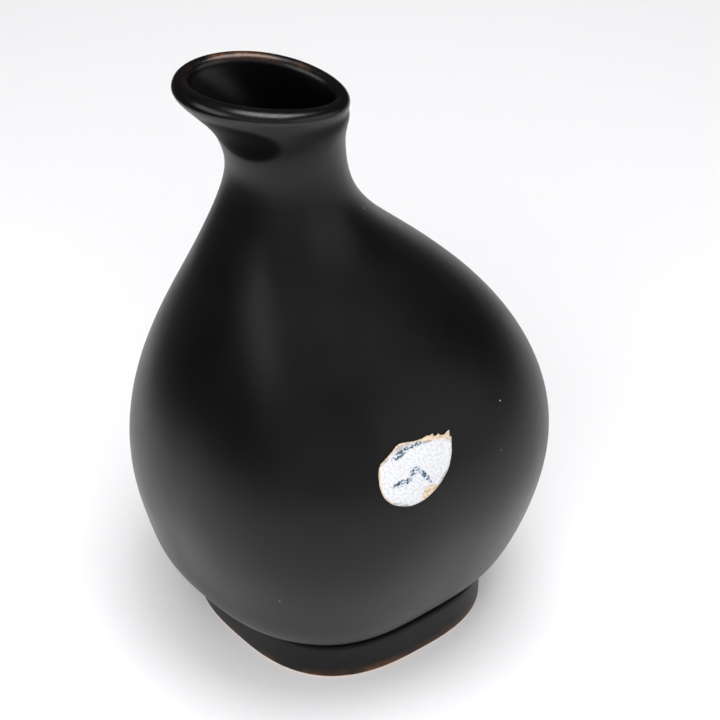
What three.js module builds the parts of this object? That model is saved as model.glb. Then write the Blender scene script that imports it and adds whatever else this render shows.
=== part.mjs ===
// Sake bottle (tokkuri) in glazed stoneware: a squared, full-bellied body whose neck stands to one
// side and opens into a pinched spout, a rounded-square foot ring luted under it, and what is left
// of a torn paper label on the belly.
// Millimetres, +Z up. Origin: middle of the foot ring, on the surface that the bottle stands on.
// The spout points to -X, and the label is on the front (-Y) right.
import * as THREE from "three";

// Wall and joint
const WALL = 3.6;
const NECK_WALL = 3;
const NECK_START = 105;
const JOINT_GAP = 0.3;
const PLY_GAP = 0.2;

// Foot ring: a rounded square whose corners lie on the X and Y axes
const FOOT_REACH = 33.2; // from the middle out to a corner
const FOOT_HEIGHT = 9.2;
const FOOT_WALL = 6;
const FOOT_TOP_ROUND = 1.6;
const FOOT_BASE_ROUND = 0.8;
const FOOT_SQUARENESS = 2.7;

// Sections of the outer face, from the foot up to the flare under the lip. Each has its height, how
// far it reaches towards the spout and away from it, and its squareness: 2 is round, more is square.
// It may also have another squareness on the side away from the spout, and its own half depth.
const BASE = FOOT_HEIGHT + JOINT_GAP;
const SECTIONS = [
  section(BASE, 29, 28.5, 2.65),
  section(BASE + 0.6, 32.6, 31.4, 2.6, 2.9, 31.3),
  section(14, 40.1, 36.8, 2.5, 3, 37.8),
  section(24, 44.9, 42.1, 2.5, 2.7, 43.1),
  section(38, 47.7, 46.5, 2.45, 2.5),
  section(52, 47.5, 47.9, 2.4),
  section(66, 44.3, 44.3, 2.35),
  section(80, 38.7, 34.7, 2.3),
  section(92, 33, 21.1, 2.2),
  section(102, 28.6, 9.8, 2.15),
  section(111, 25.3, 3.8, 2.1),
  section(119, 24, 1.6, 2),
  section(125.5, 24.8, 1.8, 2),
  section(129.3, 26.5, 2.3, 2, 2, 12.8),
];

// Inside of the base: where the cavity's wall turns into its floor
const FLOOR_HEIGHT = 14;
const HEEL = section(16.5, 36, 32.5, 2.6);
const FLOOR = section(FLOOR_HEIGHT, 28, 26, 2.6);

// Lip: a rolled bead along a line that is egg-shaped from above and arched from the side
const LIP_MIDDLE = -16.2;
const LIP_HALF_LENGTH = 17.5;
const LIP_HALF_WIDTH = 11.7;
const LIP_TAPER = 0.16; // share of the half width lost away from the spout
const LIP_PINCH = 0.04; // share of the half width lost at both ends
const LIP_HEIGHT = 135.2;
const LIP_SLOPE = 1.15; // drop from the middle to the end away from the spout
const LIP_ARCH = 1.4; // drop from the middle to both ends
const LIP_HALF_THICKNESS = 1.8;
const SPOUT_HALF_THICKNESS = 2;
const BEAD_HALF_HEIGHT = 2.1;
const BEAD_START = -60; // degrees round the bead, from facing out
const BEAD_END = 180;
const BEAD_POINTS = 6;

// Label: a round paper label, its top torn away, in two plies
const LABEL_RADIUS = 9.9;
const LABEL_MIDDLE = [0.6, 2];
const LABEL_ARC = [178, 384]; // degrees round the label that its printed edge still covers
const LABEL_ANGLE = -59; // degrees round the body from +X
const LABEL_HEIGHT = 64.3;
const PLY_THICKNESS = 0.15;
const FACE_SHARE = 0.93; // size of the printed ply against the one under it
const FACE_DROP = 0.5;
const PLY_CORE = 0.55; // share of the way out to the edge where a ply's flat middle starts
const TEAR = [
  [-9, 2.4],
  [-6.4, 4.6],
  [-2.8, 6.8],
  [1, 6.3],
  [5.6, 5.9],
  [10, 6],
];

// Fineness of the mesh
const AROUND = 48;
const ROWS_PER_SECTION = 2;
const SMALL_TURN = 0.01;
const CLEAR_OUTSIDE = 100; // farther out than any point of the body

const GLAZE = new THREE.MeshStandardMaterial({ color: 0x131315, roughness: 0.42, metalness: 0 });
const FOOT_GLAZE = new THREE.MeshStandardMaterial({ color: 0x171617, roughness: 0.5, metalness: 0 });
const PAPER = new THREE.MeshStandardMaterial({ color: 0xe9e9e6, roughness: 0.9, metalness: 0 });
const TORN_PAPER = new THREE.MeshStandardMaterial({ color: 0xc9a783, roughness: 0.95, metalness: 0 });

function section(height, spoutReach, farReach, squareness, farSquareness, halfDepth) {
  return {
    height,
    spoutReach,
    farReach,
    squareness,
    farSquareness: farSquareness ?? squareness,
    halfDepth: halfDepth ?? (spoutReach + farReach) / 2,
  };
}

// Radius at an angle of a rounded square that reaches 1 at its corners, which lie on the axes.
function roundedSquare(angle, squareness) {
  const cos = Math.abs(Math.cos(angle - Math.PI / 4)) ** squareness;
  const sin = Math.abs(Math.sin(angle - Math.PI / 4)) ** squareness;
  return ((2 * 0.5 ** (squareness / 2)) / (cos + sin)) ** (1 / squareness);
}

function pointOnSection({ height, spoutReach, farReach, squareness, farSquareness, halfDepth }, angle) {
  const away = Math.max(0, Math.cos(angle));
  const radius = roundedSquare(angle, THREE.MathUtils.lerp(squareness, farSquareness, away));
  const middle = (farReach - spoutReach) / 2;
  const halfLength = (farReach + spoutReach) / 2;
  return new THREE.Vector3(
    middle + halfLength * radius * Math.cos(angle),
    halfDepth * radius * Math.sin(angle),
    height,
  );
}

// The middle of the lip's bead. It narrows away from the spout, and is highest half way along.
function pointOnLipLine(angle) {
  const away = Math.cos(angle);
  return new THREE.Vector3(
    LIP_MIDDLE + LIP_HALF_LENGTH * away,
    LIP_HALF_WIDTH * Math.sin(angle) * (1 - LIP_TAPER * away - LIP_PINCH * away ** 2),
    LIP_HEIGHT - LIP_SLOPE * away - LIP_ARCH * away ** 2,
  );
}

// A point on the bead's skin: turn 0 faces out, 90 degrees faces up and 180 degrees faces the mouth.
function pointOnBead(angle, turn) {
  const along = pointOnLipLine(angle + SMALL_TURN).sub(pointOnLipLine(angle - SMALL_TURN));
  const outward = new THREE.Vector3(along.y, -along.x, 0).normalize();
  const towardsSpout = Math.max(0, -Math.cos(angle)) ** 2;
  const halfThickness = THREE.MathUtils.lerp(LIP_HALF_THICKNESS, SPOUT_HALF_THICKNESS, towardsSpout);
  return pointOnLipLine(angle)
    .addScaledVector(outward, halfThickness * Math.cos(turn))
    .add(new THREE.Vector3(0, 0, BEAD_HALF_HEIGHT * Math.sin(turn)));
}

// The outer face's points set in by the wall, square to the face, from the flare down to the belly.
function wallInside(outer, angle) {
  const radial = new THREE.Vector3(Math.cos(angle), Math.sin(angle), 0);
  const inner = [];
  for (let k = outer.length - 2; outer[k].z > 2 * FLOOR_HEIGHT; k -= 1) {
    const along = outer[k + 1].clone().sub(outer[k - 1]).normalize();
    const normal = radial.clone().addScaledVector(along, -radial.dot(along)).normalize();
    const wall = outer[k].z > NECK_START ? NECK_WALL : WALL;
    inner.push(outer[k].clone().addScaledVector(normal, -wall));
  }
  return inner;
}

// One line of the shell's skin, from under the base, up the outside, over the lip and down the
// inside to the cavity's floor.
function shellMeridian(angle) {
  const outer = SECTIONS.map((each) => pointOnSection(each, angle));
  const bead = Array.from({ length: BEAD_POINTS }, (_, k) => {
    const turn = THREE.MathUtils.lerp(BEAD_START, BEAD_END, k / (BEAD_POINTS - 1));
    return pointOnBead(angle, THREE.MathUtils.degToRad(turn));
  });
  const inner = [...wallInside(outer, angle), pointOnSection(HEEL, angle), pointOnSection(FLOOR, angle)];
  const controls = [...outer, ...bead, ...inner];
  const curve = new THREE.CatmullRomCurve3(controls, false, "centripetal");
  return curve.getPoints((controls.length - 1) * ROWS_PER_SECTION);
}

// A closed skin through lines of equal length that lie side by side round the piece. The lines run
// from start to end, or close on themselves where no start and end are given.
function skin(lines, start, end) {
  const rows = lines[0].length;
  const positions = lines.flat().flatMap((point) => point.toArray());
  const at = (line, row) => (line % lines.length) * rows + (row % rows);
  const faces = [];
  lines.forEach((_, line) => {
    for (let row = 0; row < (start ? rows - 1 : rows); row += 1) {
      const corners = [at(line, row), at(line + 1, row), at(line + 1, row + 1), at(line, row + 1)];
      faces.push(corners[0], corners[1], corners[2], corners[0], corners[2], corners[3]);
    }
    if (start) {
      const first = lines.length * rows;
      faces.push(first, at(line + 1, 0), at(line, 0));
      faces.push(first + 1, at(line, rows - 1), at(line + 1, rows - 1));
    }
  });
  if (start) {
    positions.push(...start.toArray(), ...end.toArray());
  }
  const geometry = new THREE.BufferGeometry();
  geometry.setAttribute("position", new THREE.Float32BufferAttribute(positions, 3));
  geometry.setIndex(faces);
  geometry.computeVertexNormals();
  return geometry;
}

function linesAround(count, line) {
  return Array.from({ length: count }, (_, k) => line((2 * Math.PI * k) / count));
}

function bottleBody() {
  const underside = new THREE.Vector3(0, 0, BASE);
  const floor = new THREE.Vector3(0, 0, FLOOR_HEIGHT);
  return skin(linesAround(AROUND, shellMeridian), underside, floor);
}

// The ring's wall as an outline across it: distance out from the middle, and height.
function footOutline() {
  const inside = FOOT_REACH - FOOT_WALL;
  const outline = new THREE.Path();
  outline.moveTo(inside, 0);
  outline.lineTo(FOOT_REACH - FOOT_BASE_ROUND, 0);
  outline.quadraticCurveTo(FOOT_REACH, 0, FOOT_REACH, FOOT_BASE_ROUND);
  outline.lineTo(FOOT_REACH, FOOT_HEIGHT - FOOT_TOP_ROUND);
  outline.quadraticCurveTo(FOOT_REACH, FOOT_HEIGHT, FOOT_REACH - FOOT_TOP_ROUND, FOOT_HEIGHT);
  outline.lineTo(inside, FOOT_HEIGHT);
  return outline.getPoints(3);
}

function footRing() {
  const outline = footOutline();
  const lines = linesAround(AROUND, (angle) => {
    const radius = roundedSquare(angle, FOOT_SQUARENESS);
    return outline.map(
      ({ x, y }) => new THREE.Vector3(x * radius * Math.cos(angle), x * radius * Math.sin(angle), y),
    );
  });
  return skin(lines);
}

// The label's edge, seen square on: most of a circle, and the tear across its top.
function labelEdge() {
  const edge = new THREE.Path();
  edge.absarc(...LABEL_MIDDLE, LABEL_RADIUS, ...LABEL_ARC.map(THREE.MathUtils.degToRad), false);
  const torn = new THREE.CatmullRomCurve3(TEAR.map(([x, y]) => new THREE.Vector3(x, y, 0)).reverse());
  const points = edge.getPoints(20).map(({ x, y }) => new THREE.Vector3(x, y, 0));
  return [...points, ...torn.getPoints(10).slice(1, -1)];
}

// The frame that the label lies in: its x runs round the body, y up it and z straight out of it.
function labelFrame(body) {
  const angle = THREE.MathUtils.degToRad(LABEL_ANGLE);
  const outward = new THREE.Vector3(Math.cos(angle), Math.sin(angle), 0);
  const start = outward.clone().multiplyScalar(CLEAR_OUTSIDE).setZ(LABEL_HEIGHT);
  const hit = new THREE.Raycaster(start, outward.clone().negate()).intersectObject(body)[0];
  const up = new THREE.Vector3(0, 0, 1);
  return new THREE.Matrix4().lookAt(hit.face.normal, new THREE.Vector3(), up).setPosition(hit.point);
}

// One ply: a sheet of even thickness that follows the body at a given gap.
function labelPly(body, frame, edge, gap) {
  const normal = new THREE.Vector3().setFromMatrixColumn(frame, 2);
  const on = (point, share, height) => {
    const start = point.clone().multiplyScalar(share).setZ(LABEL_RADIUS).applyMatrix4(frame);
    const hit = new THREE.Raycaster(start, normal.clone().negate()).intersectObject(body)[0];
    return hit.point.addScaledVector(normal, height);
  };
  const top = gap + PLY_THICKNESS;
  const lines = edge.map((point) => [
    on(point, PLY_CORE, gap),
    on(point, 1, gap),
    on(point, 1, top),
    on(point, PLY_CORE, top),
  ]);
  const middle = new THREE.Vector3();
  return skin(lines, on(middle, 0, gap), on(middle, 0, top));
}

const bottle = new THREE.Group();

function addPiece(name, geometry, material) {
  const piece = new THREE.Mesh(geometry, material);
  piece.name = name;
  bottle.add(piece);
  return piece;
}

const body = addPiece("bottle_body", bottleBody(), GLAZE);
addPiece("foot_ring", footRing(), FOOT_GLAZE);

const frame = labelFrame(body);
const backingEdge = labelEdge();
const drop = new THREE.Vector3(0, -FACE_DROP, 0);
const faceEdge = backingEdge.map((point) => point.clone().multiplyScalar(FACE_SHARE).add(drop));
addPiece("label_backing", labelPly(body, frame, backingEdge, PLY_GAP), TORN_PAPER);
addPiece("label_face", labelPly(body, frame, faceEdge, 2 * PLY_GAP + PLY_THICKNESS), PAPER);

export default bottle;
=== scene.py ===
import math

import bpy
import numpy as np
from mathutils import Matrix, Vector, noise
from mathutils.bvhtree import BVHTree


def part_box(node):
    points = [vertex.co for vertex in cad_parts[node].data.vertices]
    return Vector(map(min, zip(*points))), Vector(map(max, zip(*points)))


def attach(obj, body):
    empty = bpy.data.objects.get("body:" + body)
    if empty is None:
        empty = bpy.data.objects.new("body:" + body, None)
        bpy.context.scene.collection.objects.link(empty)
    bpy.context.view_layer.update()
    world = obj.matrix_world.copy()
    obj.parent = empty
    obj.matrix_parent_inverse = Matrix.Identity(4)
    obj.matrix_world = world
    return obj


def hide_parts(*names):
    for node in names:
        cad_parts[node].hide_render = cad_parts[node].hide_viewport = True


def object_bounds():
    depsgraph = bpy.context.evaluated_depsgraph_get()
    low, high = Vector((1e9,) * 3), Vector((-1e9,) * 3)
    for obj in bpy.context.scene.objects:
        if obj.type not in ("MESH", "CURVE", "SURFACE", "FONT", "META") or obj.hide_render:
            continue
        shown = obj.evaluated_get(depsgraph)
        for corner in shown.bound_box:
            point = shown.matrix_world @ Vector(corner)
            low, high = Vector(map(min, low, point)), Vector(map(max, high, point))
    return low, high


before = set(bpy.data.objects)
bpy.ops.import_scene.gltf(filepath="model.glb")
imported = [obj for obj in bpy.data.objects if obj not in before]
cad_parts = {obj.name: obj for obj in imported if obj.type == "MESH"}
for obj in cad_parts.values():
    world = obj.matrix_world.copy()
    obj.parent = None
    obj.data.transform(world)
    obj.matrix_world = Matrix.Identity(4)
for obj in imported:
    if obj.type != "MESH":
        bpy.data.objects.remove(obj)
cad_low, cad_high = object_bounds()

# Sizes are in millimetres until a mesh is made from them.
MM = 0.001
FOOT_LOW, FOOT_HIGH = [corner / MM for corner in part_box("foot_ring")]
FOOT_REACH = FOOT_HIGH.x
FOOT_HEIGHT = FOOT_HIGH.z
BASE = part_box("bottle_body")[0].z / MM

# The bottle's outer face, foot to flare: height, reach towards the spout, reach away from it,
# squareness, squareness on the side away from the spout, and half depth.
SECTIONS = [
    (BASE, 29, 28.5, 2.65, 2.65, 28.75),
    (BASE + 0.6, 32.6, 31.4, 2.6, 2.9, 31.3),
    (14, 40.1, 36.8, 2.5, 3, 37.8),
    (24, 44.9, 42.1, 2.5, 2.7, 43.1),
    (38, 47.7, 46.5, 2.45, 2.5, 47.1),
    (52, 47.5, 47.9, 2.4, 2.4, 47.7),
    (66, 44.3, 44.3, 2.35, 2.35, 44.3),
    (80, 38.7, 34.7, 2.3, 2.3, 36.7),
    (92, 33, 21.1, 2.2, 2.2, 27.05),
    (102, 28.6, 9.8, 2.15, 2.15, 19.2),
    (111, 25.3, 3.8, 2.1, 2.1, 14.55),
    (119, 24.1, 2, 2, 2, 12.8),
    (125.5, 25.8, 2, 2, 2, 13.3),
    (129.3, 28.9, 2.7, 2, 2, 12.8),
]
WALL = 3.6
NECK_WALL = 3
NECK_START = 105
FLOOR_HEIGHT = 14
HEEL = (16.5, 36, 32.5, 2.6, 2.6, 34.25)
CAVITY_FLOOR = (FLOOR_HEIGHT, 28, 26, 2.6, 2.6, 27)

# The lip's bead
LIP_MIDDLE = -15.9
LIP_HALF_LENGTH = 17
LIP_HALF_WIDTH = 11.5
LIP_TAPER = 0.07
LIP_PINCH = 0.04
LIP_HEIGHT = 135
LIP_SLOPE = 1.5
LIP_ARCH = 0.8
LIP_HALF_THICKNESS = 1.8
SPOUT_HALF_THICKNESS = 2
BEAD_HALF_HEIGHT = 2.1
FRONT_THICKENING = 0.7  # added to the bead's half thickness on its -Y side
BEAD_TURNS = np.radians([-28, 14, 56, 98, 140, 180])

# Painted shade on the neck under the spout, where the glaze's reflection is turned down: degrees
# round the body from +X, and height
SHADE_PATCH_ANGLE = 244
SHADE_PATCH_HALF_ANGLE = 36
SHADE_PATCH_HEIGHT = 129.2
SHADE_PATCH_HALF_HEIGHT = 4.2

# How finely the pieces are meshed
AROUND = 288
ROWS_OUTSIDE = 12
ROWS_ON_BEAD = 8
ROWS_INSIDE = 5


# ---- Shape of the vessel ----

def rounded_square(angle, squareness):
    """Radius at an angle of a rounded square that reaches 1 at its corners, on the axes."""
    cos = np.abs(np.cos(angle - math.pi / 4)) ** squareness
    sin = np.abs(np.sin(angle - math.pi / 4)) ** squareness
    return (2 * 0.5 ** (squareness / 2) / (cos + sin)) ** (1 / squareness)


def on_section(section, angle):
    height, spout_reach, far_reach, squareness, far_squareness, half_depth = section
    away = np.maximum(0, np.cos(angle))
    radius = rounded_square(angle, squareness + (far_squareness - squareness) * away)
    middle = (far_reach - spout_reach) / 2
    half_length = (far_reach + spout_reach) / 2
    x = middle + half_length * radius * np.cos(angle)
    y = half_depth * radius * np.sin(angle)
    return np.stack([x, y, np.full_like(angle, height)], -1)


def on_lip_line(angle):
    """The middle of the lip's bead: narrower away from the spout, and highest half way along."""
    away = np.cos(angle)
    x = LIP_MIDDLE + LIP_HALF_LENGTH * away
    y = LIP_HALF_WIDTH * np.sin(angle) * (1 - LIP_TAPER * away - LIP_PINCH * away ** 2)
    return np.stack([x, y, LIP_HEIGHT - LIP_SLOPE * away - LIP_ARCH * away ** 2], -1)


def on_bead(angle, turn):
    """The bead's skin. Turn 0 faces out, a quarter turn faces up and a half turn the mouth."""
    step = 0.01
    along = on_lip_line(angle + step) - on_lip_line(angle - step)
    outward = np.stack([along[:, 1], -along[:, 0]], -1)
    outward /= np.linalg.norm(outward, axis=1, keepdims=True)
    towards_spout = np.maximum(0, -np.cos(angle)) ** 2
    half = LIP_HALF_THICKNESS + (SPOUT_HALF_THICKNESS - LIP_HALF_THICKNESS) * towards_spout
    half += FRONT_THICKENING * np.maximum(0, -np.sin(angle)) ** 2
    points = on_lip_line(angle)
    points[:, :2] += outward * (half * math.cos(turn))[:, None]
    points[:, 2] += BEAD_HALF_HEIGHT * math.sin(turn)
    return points


def inside_wall(outer, angle):
    """The outer lines set in by the wall, square to the face, from the flare to the belly."""
    radial = np.stack([np.cos(angle), np.sin(angle), 0 * angle], -1)
    inner = []
    for k in range(len(outer) - 2, 0, -1):
        height = outer[k][0, 2]
        if height <= 2 * FLOOR_HEIGHT:
            break
        along = outer[k + 1] - outer[k - 1]
        along /= np.linalg.norm(along, axis=1, keepdims=True)
        normal = radial - along * (radial * along).sum(1, keepdims=True)
        normal /= np.linalg.norm(normal, axis=1, keepdims=True)
        wall = NECK_WALL if height > NECK_START else WALL
        inner.append(outer[k] - wall * normal)
    return inner


def smooth_spline(controls, rows):
    """A natural cubic spline through arrays of points, with rows[k] steps from control k on."""
    count = len(controls)
    spacing = np.linalg.norm(np.diff(controls, axis=0), axis=-1).mean(1) ** 0.7
    knots = np.concatenate([[0], np.cumsum(spacing)])
    left = np.eye(count)
    right = np.zeros((count, count))
    for i in range(1, count - 1):
        before, after = spacing[i - 1], spacing[i]
        left[i, i - 1:i + 2] = before, 2 * (before + after), after
        right[i, i - 1:i + 2] = 6 / before, -6 / before - 6 / after, 6 / after
    bend = np.tensordot(np.linalg.solve(left, right), controls, 1)
    lines = []
    for i, steps in enumerate(rows):
        for at in np.arange(steps) / steps:
            to, back = at, 1 - at
            point = back * controls[i] + to * controls[i + 1]
            curve = (back ** 3 - back) * bend[i] + (to ** 3 - to) * bend[i + 1]
            lines.append(point + curve * spacing[i] ** 2 / 6)
    lines.append(controls[-1])
    return np.array(lines)


def angles_around(count):
    return np.linspace(0, 2 * math.pi, count, endpoint=False)


def vessel_rows():
    """Rings of points from under the base, up the outside, over the lip and down the inside."""
    angle = angles_around(AROUND)
    outer = [on_section(section, angle) for section in SECTIONS]
    bead = [on_bead(angle, turn) for turn in BEAD_TURNS]
    inner = inside_wall(outer, angle)
    inner += [on_section(HEEL, angle), on_section(CAVITY_FLOOR, angle)]
    rows = [ROWS_OUTSIDE] * len(outer) + [ROWS_ON_BEAD] * (len(bead) - 1) + [ROWS_INSIDE] * len(inner)
    return smooth_spline(np.array(outer + bead + inner), rows)


# ---- Meshes ----

def add_mesh(name, points, faces):
    mesh = bpy.data.meshes.new(name)
    mesh.from_pydata([Vector(point) * MM for point in points], [], faces)
    mesh.validate()
    piece = bpy.data.objects.new(name, mesh)
    bpy.context.scene.collection.objects.link(piece)
    for polygon in mesh.polygons:
        polygon.use_smooth = True
    return piece


def grid_faces(rows, around, closed=False):
    """Quads between rings of points. Closed rings of rings join the last row to the first."""
    faces = []
    for row in range(rows if closed else rows - 1):
        for k in range(around):
            after = (k + 1) % around
            below, above = row * around, (row + 1) % rows * around
            faces.append((below + k, below + after, above + after, above + k))
    return faces


def cap_faces(start, around, middle, facing_up):
    faces = [(start + k, start + (k + 1) % around, middle) for k in range(around)]
    return faces if facing_up else [face[::-1] for face in faces]


def set_point_values(piece, name, values):
    attribute = piece.data.attributes.new(name, "FLOAT", "POINT")
    attribute.data.foreach_set("value", np.asarray(values, np.float32))


def make_vessel():
    """The glazed shell, with where its glaze is thin or glossy, and where shade is painted by turning
    its reflection down: inside the mouth and on the neck under the spout.
    """
    rings = vessel_rows()
    count = len(rings)
    points = [Vector(point) for point in rings.reshape(-1, 3)]
    centre_below = Vector((0, 0, BASE))
    centre_floor = Vector((0, 0, FLOOR_HEIGHT))
    faces = grid_faces(count, AROUND)
    faces += cap_faces(0, AROUND, len(points), False)
    faces += cap_faces((count - 1) * AROUND, AROUND, len(points) + 1, True)
    vessel = add_mesh("vessel", points + [centre_below, centre_floor], faces)
    bead_start = len(SECTIONS) * ROWS_OUTSIDE
    bead_end = bead_start + (len(BEAD_TURNS) - 1) * ROWS_ON_BEAD
    row = np.repeat(np.arange(count), AROUND)
    angle = np.tile(angles_around(AROUND), count)
    turn = (row - bead_start) / (bead_end - bead_start)
    crest = np.exp(-((turn - 0.66) / 0.11) ** 2)
    back = np.clip(1.6 * np.sin(angle) - 0.1, 0.06, 1)
    set_point_values(vessel, "glaze_thin", np.append(crest * back, [0, 0]))
    height = rings.reshape(-1, 3)[:, 2]
    # Painted shade: a patch on the neck under the spout where the glaze's reflection is turned down.
    across = (np.degrees(angle) - SHADE_PATCH_ANGLE) / SHADE_PATCH_HALF_ANGLE
    shade_patch = np.hypot(across, (height - SHADE_PATCH_HEIGHT) / SHADE_PATCH_HALF_HEIGHT)
    shade_patch = np.where(row < bead_start, np.clip((1.1 - shade_patch) / 0.2, 0, 1), 0)
    # The lip's glaze is glossier; the same value also raises the IOR there, a painted highlight that
    # brightens the lip's reflections.
    lip = 0.55 * np.clip((row - bead_start + 6) / 12, 0, 1) * np.clip((bead_end + 4 - row) / 10, 0, 1)
    set_point_values(vessel, "glossy", np.append(lip, [0, 0]))
    # Painted shade: the glaze's reflection is turned down inside the mouth and in the patch under the
    # spout.
    painted_shade = np.maximum(np.clip((row - bead_end) / 8, 0, 1), shade_patch)
    set_point_values(vessel, "painted_shade", np.append(painted_shade, [0, 1]))
    return vessel


def corner_arc(x, y, radius, start):
    """A quarter circle of outline points about a centre, from a start angle in degrees."""
    turn = np.radians(start + np.linspace(0, 90, 9))
    return [(x + radius * math.cos(t), y + radius * math.sin(t)) for t in turn]


def make_foot():
    """The foot ring: a bare, flat base, and a glazed side that rounds over to a narrow ledge."""
    wall, base_round, top_round = 6.0, 0.7, 1.5
    inside = FOOT_REACH - wall
    side = np.linspace(0.15, 0.85, 6)[1:-1] * FOOT_HEIGHT
    outline = corner_arc(inside + base_round, base_round, base_round, 180)
    outline += corner_arc(FOOT_REACH - base_round, base_round, base_round, 270)
    outline += [(FOOT_REACH, height) for height in side]
    outline += corner_arc(FOOT_REACH - top_round, FOOT_HEIGHT - top_round, top_round, 0)
    outline += [(FOOT_REACH - 3, FOOT_HEIGHT), (inside + 1.5, BASE), (inside, BASE - 1)]
    angle = angles_around(AROUND)
    radius = rounded_square(angle, 2.7)
    rings = [
        np.stack([x * radius * np.cos(angle), x * radius * np.sin(angle), np.full_like(angle, z)], -1)
        for x, z in outline
    ]
    points = np.array(rings).reshape(-1, 3)
    foot = add_mesh("foot", points, grid_faces(len(rings), AROUND, closed=True))
    height = points[:, 2]
    set_point_values(foot, "bare", np.clip(1 - height / 0.75, 0, 1))
    set_point_values(foot, "glaze_thin", np.clip(1 - (height - 0.5) / 0.9, 0, 1))
    return foot


# ---- Label ----

# Both plies' edges, as points round the label's middle from lower left, in the label's own
# millimetres: x runs round the bottle and y up it. The under ply has teeth where it was torn; the
# printed one stops short of them and has lost a scrap at lower right.
LABEL_MIDDLE = np.array([1, 0])
LABEL_ORIGIN = (2.05, -1.93)  # the point of the label at the middle of its CAD solid
LABEL_SPAN = 20
LABEL_SCALE = 0.97
UNDER_EDGE = [
    (-8.5, -0.2), (-8.6, -1.1), (-8.4, -2.9), (-7.9, -4.4), (-6.8, -5.9), (-5.3, -6.9), (-3, -7.8),
    (-0.6, -7.9), (1.7, -7.4), (3.5, -6.6), (5.3, -5.4), (7, -4), (8.4, -2.5), (9.2, -1),
    (9.8, 0.3), (10.3, 2.1), (10.5, 3.4), (10.4, 4.6), (10.3, 5.7), (9.6, 5.6), (8.9, 5.2),
    (7.9, 5.4), (7.5, 6.1), (6.95, 5.7), (6.1, 5.75), (6.15, 6.5), (4.9, 6.3), (3.1, 6.2),
    (1.4, 6.2), (-0.5, 6.5), (-2.1, 6.8), (-3, 6.5), (-4.1, 5.7), (-5.3, 4.9), (-6.4, 4.1),
    (-7.2, 3.7), (-7.9, 2.7), (-8.4, 0.9),
]
FACE_EDGE = [
    (-8.2, -0.2), (-8.3, -1.1), (-8.1, -2.9), (-7.6, -4.3), (-6.6, -5.8), (-5.2, -6.8), (-3, -7.7),
    (-0.6, -7.8), (0.6, -7.5), (0.9, -6.1), (1.7, -4.9), (3.1, -4.6), (4.8, -4.9), (5.6, -5.1),
    (7, -3.9), (8.3, -2.4), (9.1, -1), (9.7, 0.3), (10.2, 2.1), (10.3, 3.5), (8.9, 4.2),
    (7.3, 4.7), (5.7, 4.9), (3.5, 5.5), (0.8, 6), (-1.4, 6.4), (-3, 6.2), (-4.2, 5.4), (-5.3, 4.6),
    (-6.5, 3.8), (-7.6, 2.6), (-8.1, 0.9),
]
TORN_TOP = 4.6
SPOKES = 720
RINGS = 26


def reach_along(spoke, edge, fray, seed):
    """How far a ply reaches along each spoke from the label's middle, with a frayed edge."""
    out = np.array(edge) - LABEL_MIDDLE
    turn = np.unwrap(np.arctan2(out[:, 1], out[:, 0]))
    reach = LABEL_SCALE * np.hypot(out[:, 0], out[:, 1])
    turn, reach = np.append(turn, turn[0] + 2 * math.pi), np.append(reach, reach[0])
    spoke = np.where(spoke < turn[0], spoke + 2 * math.pi, spoke)
    smooth = np.interp(spoke, turn, reach)
    torn = np.clip(smooth * np.sin(spoke) - TORN_TOP + 1.5, 0.25, 1)
    fine = [noise.noise(Vector((math.cos(t) * 22, math.sin(t) * 22, seed))) for t in spoke]
    coarse = [noise.noise(Vector((math.cos(t) * 7, math.sin(t) * 7, seed))) for t in spoke]
    return smooth + fray * torn * (np.array(fine) + 0.6 * np.array(coarse))


def make_ply(name, vessel_tree, place, reach, spoke, low, high, curl):
    """A sheet of paper on the glaze, which lifts a little along its torn edge."""
    share = np.linspace(0, 1, RINGS + 1)[1:] ** 0.8
    middle_x, middle_y = LABEL_MIDDLE
    flat = [
        (middle_x + s * r * math.cos(t), middle_y + s * r * math.sin(t))
        for s in share
        for r, t in zip(reach, spoke)
    ]
    flat.append((middle_x, middle_y))
    normal = place.to_3x3() @ Vector((0, 0, 1))
    tops, bottoms = [], []
    for x, y in flat:
        start = place @ Vector((x * MM, y * MM, 0.02))
        hit, face_normal, _, _ = vessel_tree.ray_cast(start, -normal)
        near_tear = max(0.0, y - TORN_TOP + 0.25 * abs(x)) / 2
        relief = 0.03 * noise.noise(Vector((x, y, 0)) * 1.5)
        rise = curl * min(near_tear, 1) ** 2 + relief
        tops.append(hit / MM + face_normal * (high + rise))
        bottoms.append(hit / MM + face_normal * (low + rise))
    around = len(spoke)
    count = len(flat)
    last = (RINGS - 1) * around
    faces = grid_faces(RINGS, around)
    faces = [face[::-1] for face in faces]
    faces += [(k, (k + 1) % around, count - 1) for k in range(around)]
    under = [tuple(index + count for index in face[::-1]) for face in faces]
    edge = [
        (last + k, last + k + count, last + (k + 1) % around + count, last + (k + 1) % around)
        for k in range(around)
    ]
    ply = add_mesh(name, tops + bottoms, faces + under + edge)
    layer = ply.data.uv_layers.new(name="flat")
    where = np.array(flat + flat) / LABEL_SPAN + 0.5
    corners = np.zeros(len(ply.data.loops), np.int32)
    ply.data.loops.foreach_get("vertex_index", corners)
    layer.data.foreach_set("uv", where[corners].astype(np.float32).ravel())
    return ply


def label_place(vessel_tree):
    """Where the label's plies lie: x runs round the bottle, y up it and z out of it."""
    low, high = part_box("label_backing")
    point, normal, _, _ = vessel_tree.find_nearest((low + high) / 2)
    across = Vector((0, 0, 1)).cross(normal).normalized()
    up = normal.cross(across)
    middle_x, middle_y = LABEL_ORIGIN
    turn = Matrix((across, up, normal)).transposed().to_4x4()
    return Matrix.Translation(point - (across * middle_x + up * middle_y) * MM) @ turn


# ---- Materials ----

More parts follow.
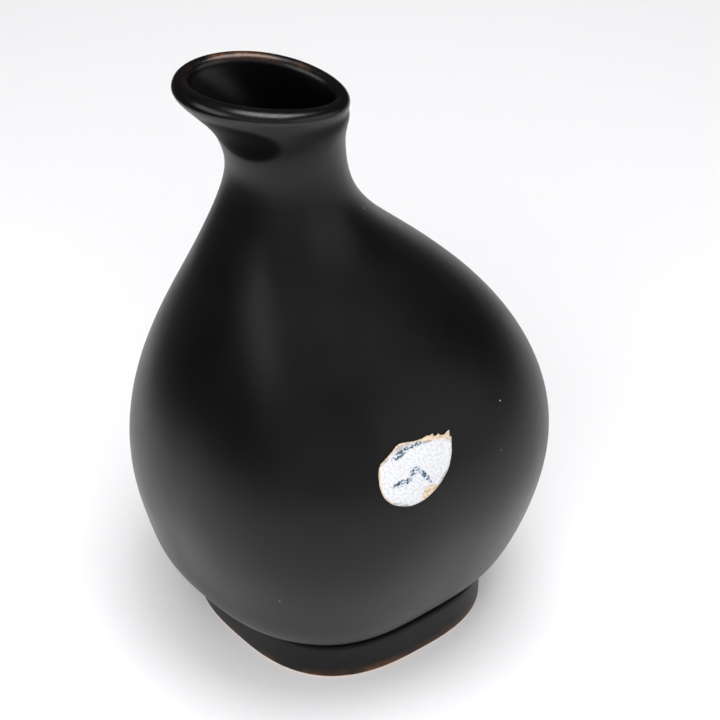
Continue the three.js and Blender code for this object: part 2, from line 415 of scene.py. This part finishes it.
class Nodes:
    """A material's node tree, built up by name."""

    def __init__(self, name):
        self.material = bpy.data.materials.new(name)
        self.material.use_nodes = True
        self.tree = self.material.node_tree
        self.shader = self.tree.nodes["Principled BSDF"]

    def add(self, kind, settings=None, **inputs):
        node = self.tree.nodes.new(kind)
        for key, value in (settings or {}).items():
            setattr(node, key, value)
        for key, value in inputs.items():
            self.set(node, key.replace("_", " "), value)
        return node

    def set(self, node, key, value):
        """Links or sets an input, given by its name or as i and its number."""
        numbered = key[0] == "i" and key[1:].isdigit()
        socket = node.inputs[int(key[1:]) if numbered else key]
        if isinstance(value, bpy.types.NodeSocket):
            self.tree.links.new(value, socket)
        else:
            socket.default_value = value

    def noise(self, vector, scale, detail=2.0, roughness=0.5):
        node = self.add("ShaderNodeTexNoise", Vector=vector, Scale=scale, Detail=detail,
                        Roughness=roughness)
        return node.outputs["Fac"]

    def ramp(self, value, low, high, out_low=0.0, out_high=1.0):
        node = self.add("ShaderNodeMapRange", {"clamp": True}, Value=value, From_Min=low,
                        From_Max=high, To_Min=out_low, To_Max=out_high)
        return node.outputs["Result"]

    def math(self, operation, a, b=0.0):
        node = self.add("ShaderNodeMath", {"operation": operation}, i0=a, i1=b)
        return node.outputs[0]

    def mix(self, factor, a, b):
        node = self.add("ShaderNodeMix", {"data_type": "RGBA"}, i0=factor, i6=a, i7=b)
        return node.outputs[2]

    def attribute(self, name):
        return self.add("ShaderNodeAttribute", {"attribute_name": name}).outputs["Fac"]

    def bump(self, height, distance, strength=1.0, normal=None):
        node = self.add("ShaderNodeBump", Height=height, Distance=distance, Strength=strength)
        if normal:
            self.set(node, "Normal", normal)
        return node.outputs["Normal"]


def colour(red, green, blue):
    return (red, green, blue, 1.0)


BLACK_GLAZE = colour(0.0012, 0.0012, 0.0014)
WARM_GLAZE = colour(0.0028, 0.0025, 0.0023)
BROWN_GLAZE = colour(0.13, 0.052, 0.02)
BARE_CLAY = colour(0.56, 0.38, 0.24)
DUST = colour(0.55, 0.55, 0.53)


def glaze(name, roughness, bare=False):
    """Satin black glaze. It thins to brown where glaze_thin says, over clay where bare says. Where
    painted shade is set, its reflection is turned down.
    """
    n = Nodes(name)
    where = n.add("ShaderNodeTexCoord").outputs["Object"]
    cloud = n.noise(where, 60.0, 3.0)
    grain = n.noise(where, 1500.0, 2.0)
    base = n.mix(n.ramp(cloud, 0.35, 0.75), BLACK_GLAZE, WARM_GLAZE)
    breaks = n.noise(where, 700.0, 4.0, 0.65)
    worn = n.math("MULTIPLY", n.ramp(n.noise(where, 90.0), 0.4, 0.62), n.ramp(breaks, 0.3, 0.6))
    thin = n.math("MULTIPLY", n.attribute("glaze_thin"), worn)
    base = n.mix(thin, base, BROWN_GLAZE)
    cell = n.add("ShaderNodeTexVoronoi", Vector=where, Scale=150.0)
    speck = n.math("LESS_THAN", cell.outputs["Distance"], 0.024)
    chosen = n.add("ShaderNodeSeparateColor", Color=cell.outputs["Color"]).outputs["Red"]
    speck = n.math("MULTIPLY", speck, n.math("GREATER_THAN", chosen, 0.6))
    base = n.mix(speck, base, DUST)
    rough = n.ramp(cloud, 0.3, 0.7, roughness - 0.03, roughness + 0.04)
    glossy = n.math("ADD", n.attribute("glossy"), n.ramp(breaks, 0.3, 0.7, -0.12, 0.12))
    rough = n.math("SUBTRACT", rough, n.ramp(glossy, 0.2, 0.75, 0.0, 0.2))
    if bare:
        patchy = n.math("ADD", n.attribute("bare"), n.math("MULTIPLY", breaks, 0.5))
        clay = n.ramp(patchy, 0.55, 0.75)
        pale = n.mix(n.noise(where, 900.0, 3.0), BARE_CLAY, colour(0.42, 0.25, 0.14))
        base = n.mix(clay, base, pale)
        rough = n.math("MAXIMUM", rough, n.math("MULTIPLY", clay, 0.85))
    n.set(n.shader, "Base Color", base)
    n.set(n.shader, "Roughness", rough)
    # Painted shade: the IOR drops so the glaze hardly reflects inside the mouth and in the patch
    # under the spout.
    painted_shade = n.ramp(n.attribute("painted_shade"), 0.0, 1.0, 1.37, 1.12)
    # On the lip the glossy value also raises the IOR: a painted highlight on top of the real,
    # glossier glaze.
    n.set(n.shader, "IOR", n.math("ADD", painted_shade, n.ramp(n.attribute("glossy"), 0.0, 0.55, 0.0, 0.13)))
    ripple = n.bump(n.noise(where, 190.0, 2.0), 0.00006, 0.5)
    n.set(n.shader, "Normal", n.bump(grain, 0.00002, 0.35, ripple))
    return n.material


def paper(name, pale, dark, printed):
    """Matt fibrous paper. The printed ply also has dirt along its edges and worn ink."""
    n = Nodes(name)
    uv = n.add("ShaderNodeTexCoord").outputs["UV"]
    flat = n.add("ShaderNodeMapping", {"vector_type": "TEXTURE"}, Vector=uv,
                 Location=(0.5, 0.5, 0), Scale=(1 / LABEL_SPAN, 1 / LABEL_SPAN, 1)).outputs["Vector"]
    fibre = n.noise(flat, 1.7, 5.0, 0.65)
    blotch = n.noise(flat, 0.9, 3.0, 0.6)
    base = n.mix(n.ramp(fibre, 0.32, 0.56), dark, pale)
    base = n.mix(n.ramp(blotch, 0.54, 0.72, 0.0, 0.55), base, dark)
    if printed:
        dirt = spot(n, flat, (-2.2, 6.2), 12, 3.4, 1.5)
        for middle, turn, half_length, half_width in DIRT_STREAKS:
            dirt = n.math("MAXIMUM", dirt, spot(n, flat, middle, turn, half_length, half_width))
        dirt = n.math("MULTIPLY", dirt, n.ramp(n.noise(flat, 1.1, 4.0, 0.7), 0.38, 0.6, 0.1, 0.95))
        base = n.mix(dirt, base, colour(0.3, 0.26, 0.22))
        for strength, width, tint in INK_LAYERS:
            base = n.mix(n.math("MULTIPLY", ink_marks(n, flat, width), strength), base, tint)
    n.set(n.shader, "Base Color", base)
    n.shader.inputs["Roughness"].default_value = 0.9
    n.shader.inputs["Specular IOR Level"].default_value = 0.25
    n.set(n.shader, "Normal", n.bump(fibre, 0.0001, 0.5))
    return n.material


def spot(n, flat, middle, turn, half_length, half_width):
    """A soft-edged ellipse on the label."""
    place = n.add("ShaderNodeMapping", {"vector_type": "TEXTURE"}, Vector=flat,
                  Location=(*middle, 0), Rotation=(0, 0, math.radians(turn)),
                  Scale=(half_length, half_width, 1)).outputs["Vector"]
    away = n.add("ShaderNodeVectorMath", {"operation": "LENGTH"}, i0=place).outputs["Value"]
    return n.ramp(away, 1.15, 0.75)


# Streaks of dirt on the printed ply, beside the torn edge: middle, turn, half length and half width
DIRT_STREAKS = [
    ((-5.6, 4.6), 40, 2.2, 0.7),
    ((3.2, 5.3), -6, 3.2, 0.5),
    ((6.8, -3.6), 42, 2.4, 0.5),
    ((-3.6, -7.2), -28, 3.6, 0.5),
]

# Worn print: strength, line width and colour of each layer of ink, and where scraps of it are left
INK_LAYERS = [
    (0.6, 0.12, colour(0.3, 0.42, 0.6)),
    (1.0, 0.062, colour(0.015, 0.04, 0.055)),
]
INK_SCRAPS = [
    ((-2.4, 4.4), 22, 2.4, 0.75),
    ((1.3, 5.2), 2, 1.8, 0.5),
    ((-3.3, -1.9), 4, 2.4, 0.8),
    ((-0.2, -0.2), 20, 1.4, 0.8),
    ((2.2, -2), -56, 2.5, 0.6),
]


def ink_marks(n, flat, width):
    """Broken wandering lines, kept to a few slanting scraps. They form no letters."""
    line = n.noise(flat, 1.0, 3.0, 0.55)
    line = n.ramp(n.math("ABSOLUTE", n.math("SUBTRACT", line, 0.5)), width, width * 0.5)
    scraps = None
    for middle, turn, half_length, half_width in INK_SCRAPS:
        scrap = spot(n, flat, middle, turn, half_length, half_width)
        scraps = scrap if scraps is None else n.math("MAXIMUM", scraps, scrap)
    worn = n.ramp(n.noise(flat, 1.3, 3.0), 0.34, 0.44)
    return n.math("MULTIPLY", n.math("MULTIPLY", line, scraps), worn)


def pale_floor():
    n = Nodes("floor")
    n.shader.inputs["Base Color"].default_value = colour(0.86, 0.86, 0.875)
    n.shader.inputs["Roughness"].default_value = 0.6
    return n.material


# ---- Studio ----

def direction(azimuth, elevation):
    """From the object towards a place round it. Azimuth 0 is the front and 90 is +X."""
    a, e = math.radians(azimuth), math.radians(elevation)
    return Vector((math.sin(a) * math.cos(e), -math.cos(a) * math.cos(e), math.sin(e)))


def aim(thing, target):
    thing.rotation_mode = "QUATERNION"
    thing.rotation_quaternion = (target - thing.location).to_track_quat("-Z", "Y")


def add_camera():
    """A long lens 0.6 m away, above the front and a little to the right."""
    target = Vector((0.00496, 0, cad_low.z + 0.06638))
    camera = bpy.data.objects.new("camera", bpy.data.cameras.new("camera"))
    camera.data.sensor_width = 36
    camera.data.lens = 133.74
    camera.data.clip_start = 0.01
    camera.location = target + direction(6.46, 36.27) * 0.6
    aim(camera, target)
    bpy.context.scene.collection.objects.link(camera)
    bpy.context.scene.camera = camera


def add_light(name, place, target, size, watts, spread=180, mirrored=True):
    """A soft rectangular light. One that isn't mirrored puts no glare on the glaze."""
    light = bpy.data.lights.new(name, "AREA")
    light.shape = "RECTANGLE"
    light.size, light.size_y = size
    light.energy = watts
    light.spread = math.radians(spread)
    panel = bpy.data.objects.new(name, light)
    panel.location = Vector(place)
    aim(panel, Vector(target))
    panel.visible_glossy = mirrored
    bpy.context.scene.collection.objects.link(panel)


def add_shade_reflection_card():
    """A dark card on the floor to the left, out of the picture, that only the glaze sees: painted
    shade, reflected in the glaze in place of the dimmer floor to the left.
    """
    edge, far = -0.2, 3.0
    corners = [(-far, -far), (edge, -far), (edge, far), (-far, far)]
    mesh = bpy.data.meshes.new("shade_reflection_card")
    mesh.from_pydata([(x, y, cad_low.z + 0.0005) for x, y in corners], [], [(0, 1, 2, 3)])
    shade_reflection_card = bpy.data.objects.new("shade_reflection_card", mesh)
    bpy.context.scene.collection.objects.link(shade_reflection_card)
    n = Nodes("shade_reflection_card")
    # Dark grey: painted shade that only the glaze reflects, standing in for the less lit floor to the
    # left.
    n.shader.inputs["Base Color"].default_value = colour(0.12, 0.12, 0.12)
    n.shader.inputs["Roughness"].default_value = 0.8
    mesh.materials.append(n.material)
    shade_reflection_card.visible_camera = False
    shade_reflection_card.visible_diffuse = False
    shade_reflection_card.visible_shadow = False


# The room that the glaze mirrors: each patch of light's azimuth, elevation, radius in degrees
# and brightness, over an even dim room.
ROOM = 0.055
PATCHES = [
    (68, 8, 32, 0.85),
    (0, 38, 44, 0.2),
    (8, 10, 28, 0.16),
]


def add_world():
    """The patches, each fading out smoothly between two angles from its middle."""
    world = bpy.data.worlds.new("studio")
    world.use_nodes = True
    tree = world.node_tree
    place = tree.nodes.new("ShaderNodeTexCoord")
    total = None
    for azimuth, elevation, radius, brightness in PATCHES:
        dot = tree.nodes.new("ShaderNodeVectorMath")
        dot.operation = "DOT_PRODUCT"
        dot.inputs[1].default_value = direction(azimuth, elevation)
        tree.links.new(place.outputs["Generated"], dot.inputs[0])
        fade = tree.nodes.new("ShaderNodeMapRange")
        fade.interpolation_type = "SMOOTHSTEP"
        fade.inputs["From Min"].default_value = math.cos(math.radians(radius * 1.25))
        fade.inputs["From Max"].default_value = math.cos(math.radians(radius * 0.45))
        fade.inputs["To Max"].default_value = brightness
        tree.links.new(dot.outputs["Value"], fade.inputs["Value"])
        add = tree.nodes.new("ShaderNodeMath")
        add.inputs[1].default_value = ROOM
        tree.links.new(fade.outputs["Result"], add.inputs[0])
        if total is not None:
            tree.links.new(total, add.inputs[1])
        total = add.outputs[0]
    background = tree.nodes["Background"]
    tree.links.new(total, background.inputs["Strength"])
    background.inputs["Color"].default_value = colour(1, 1, 1)
    bpy.context.scene.world = world


def add_studio():
    bpy.ops.mesh.primitive_plane_add(size=8, location=(0, 0, cad_low.z))
    floor = bpy.context.object
    floor.name = "floor"
    floor.data.materials.append(pale_floor())
    add_shade_reflection_card()
    floor_middle = (0, 0, cad_low.z)
    add_light("overhead", (0.1, -0.02, 0.75), floor_middle, (0.4, 0.4), 1.05, 110)
    add_light("overhead_fill", (0, -0.05, 0.75), floor_middle, (0.6, 0.8), 0.55, 110, mirrored=False)
    add_light("window_side", (0.6, 0, 0.8), (0.5, 0, 0), (0.6, 1.0), 0.3, 120, mirrored=False)
    add_light("front_fill", (0, -0.7, 0.5), floor_middle, (0.9, 0.5), 3.1, 120, mirrored=False)
    add_light("back_fill", (-0.1, 0.7, 0.6), (0, 0.4, 0), (0.9, 0.5), 1.1, 120, mirrored=False)
    middle = (cad_low + cad_high) / 2
    add_light("key", middle + direction(-52, 39) * 0.26, middle, (0.15, 0.12), 0.095)
    add_world()
    bpy.context.scene.view_settings.view_transform = "Standard"


# ---- Assembly ----

def fit(piece, node, material):
    piece.data.materials.append(material)
    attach(piece, "root")
    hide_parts(node)


add_camera()
vessel = make_vessel()
foot = make_foot()
bpy.context.view_layer.update()
vessel_tree = BVHTree.FromObject(vessel, bpy.context.evaluated_depsgraph_get())
place = label_place(vessel_tree)
spoke = np.linspace(-math.pi, math.pi, SPOKES, endpoint=False)
under_reach = reach_along(spoke, UNDER_EDGE, 0.22, 3)
face_reach = np.minimum(reach_along(spoke, FACE_EDGE, 0.16, 8), under_reach - 0.06)
backing = make_ply("label_under_ply", vessel_tree, place, under_reach, spoke, 0.02, 0.1, 0.3)
face = make_ply("label_printed_ply", vessel_tree, place, face_reach, spoke, 0.1, 0.2, 0.22)

fit(vessel, "bottle_body", glaze("black_glaze", 0.36))
fit(foot, "foot_ring", glaze("foot_glaze", 0.4, bare=True))
kraft = paper("kraft_paper", colour(0.66, 0.55, 0.43), colour(0.3, 0.2, 0.12), False)
white = paper("white_paper", colour(0.64, 0.645, 0.66), colour(0.45, 0.46, 0.5), True)
fit(backing, "label_backing", kraft)
fit(face, "label_face", white)
add_studio()
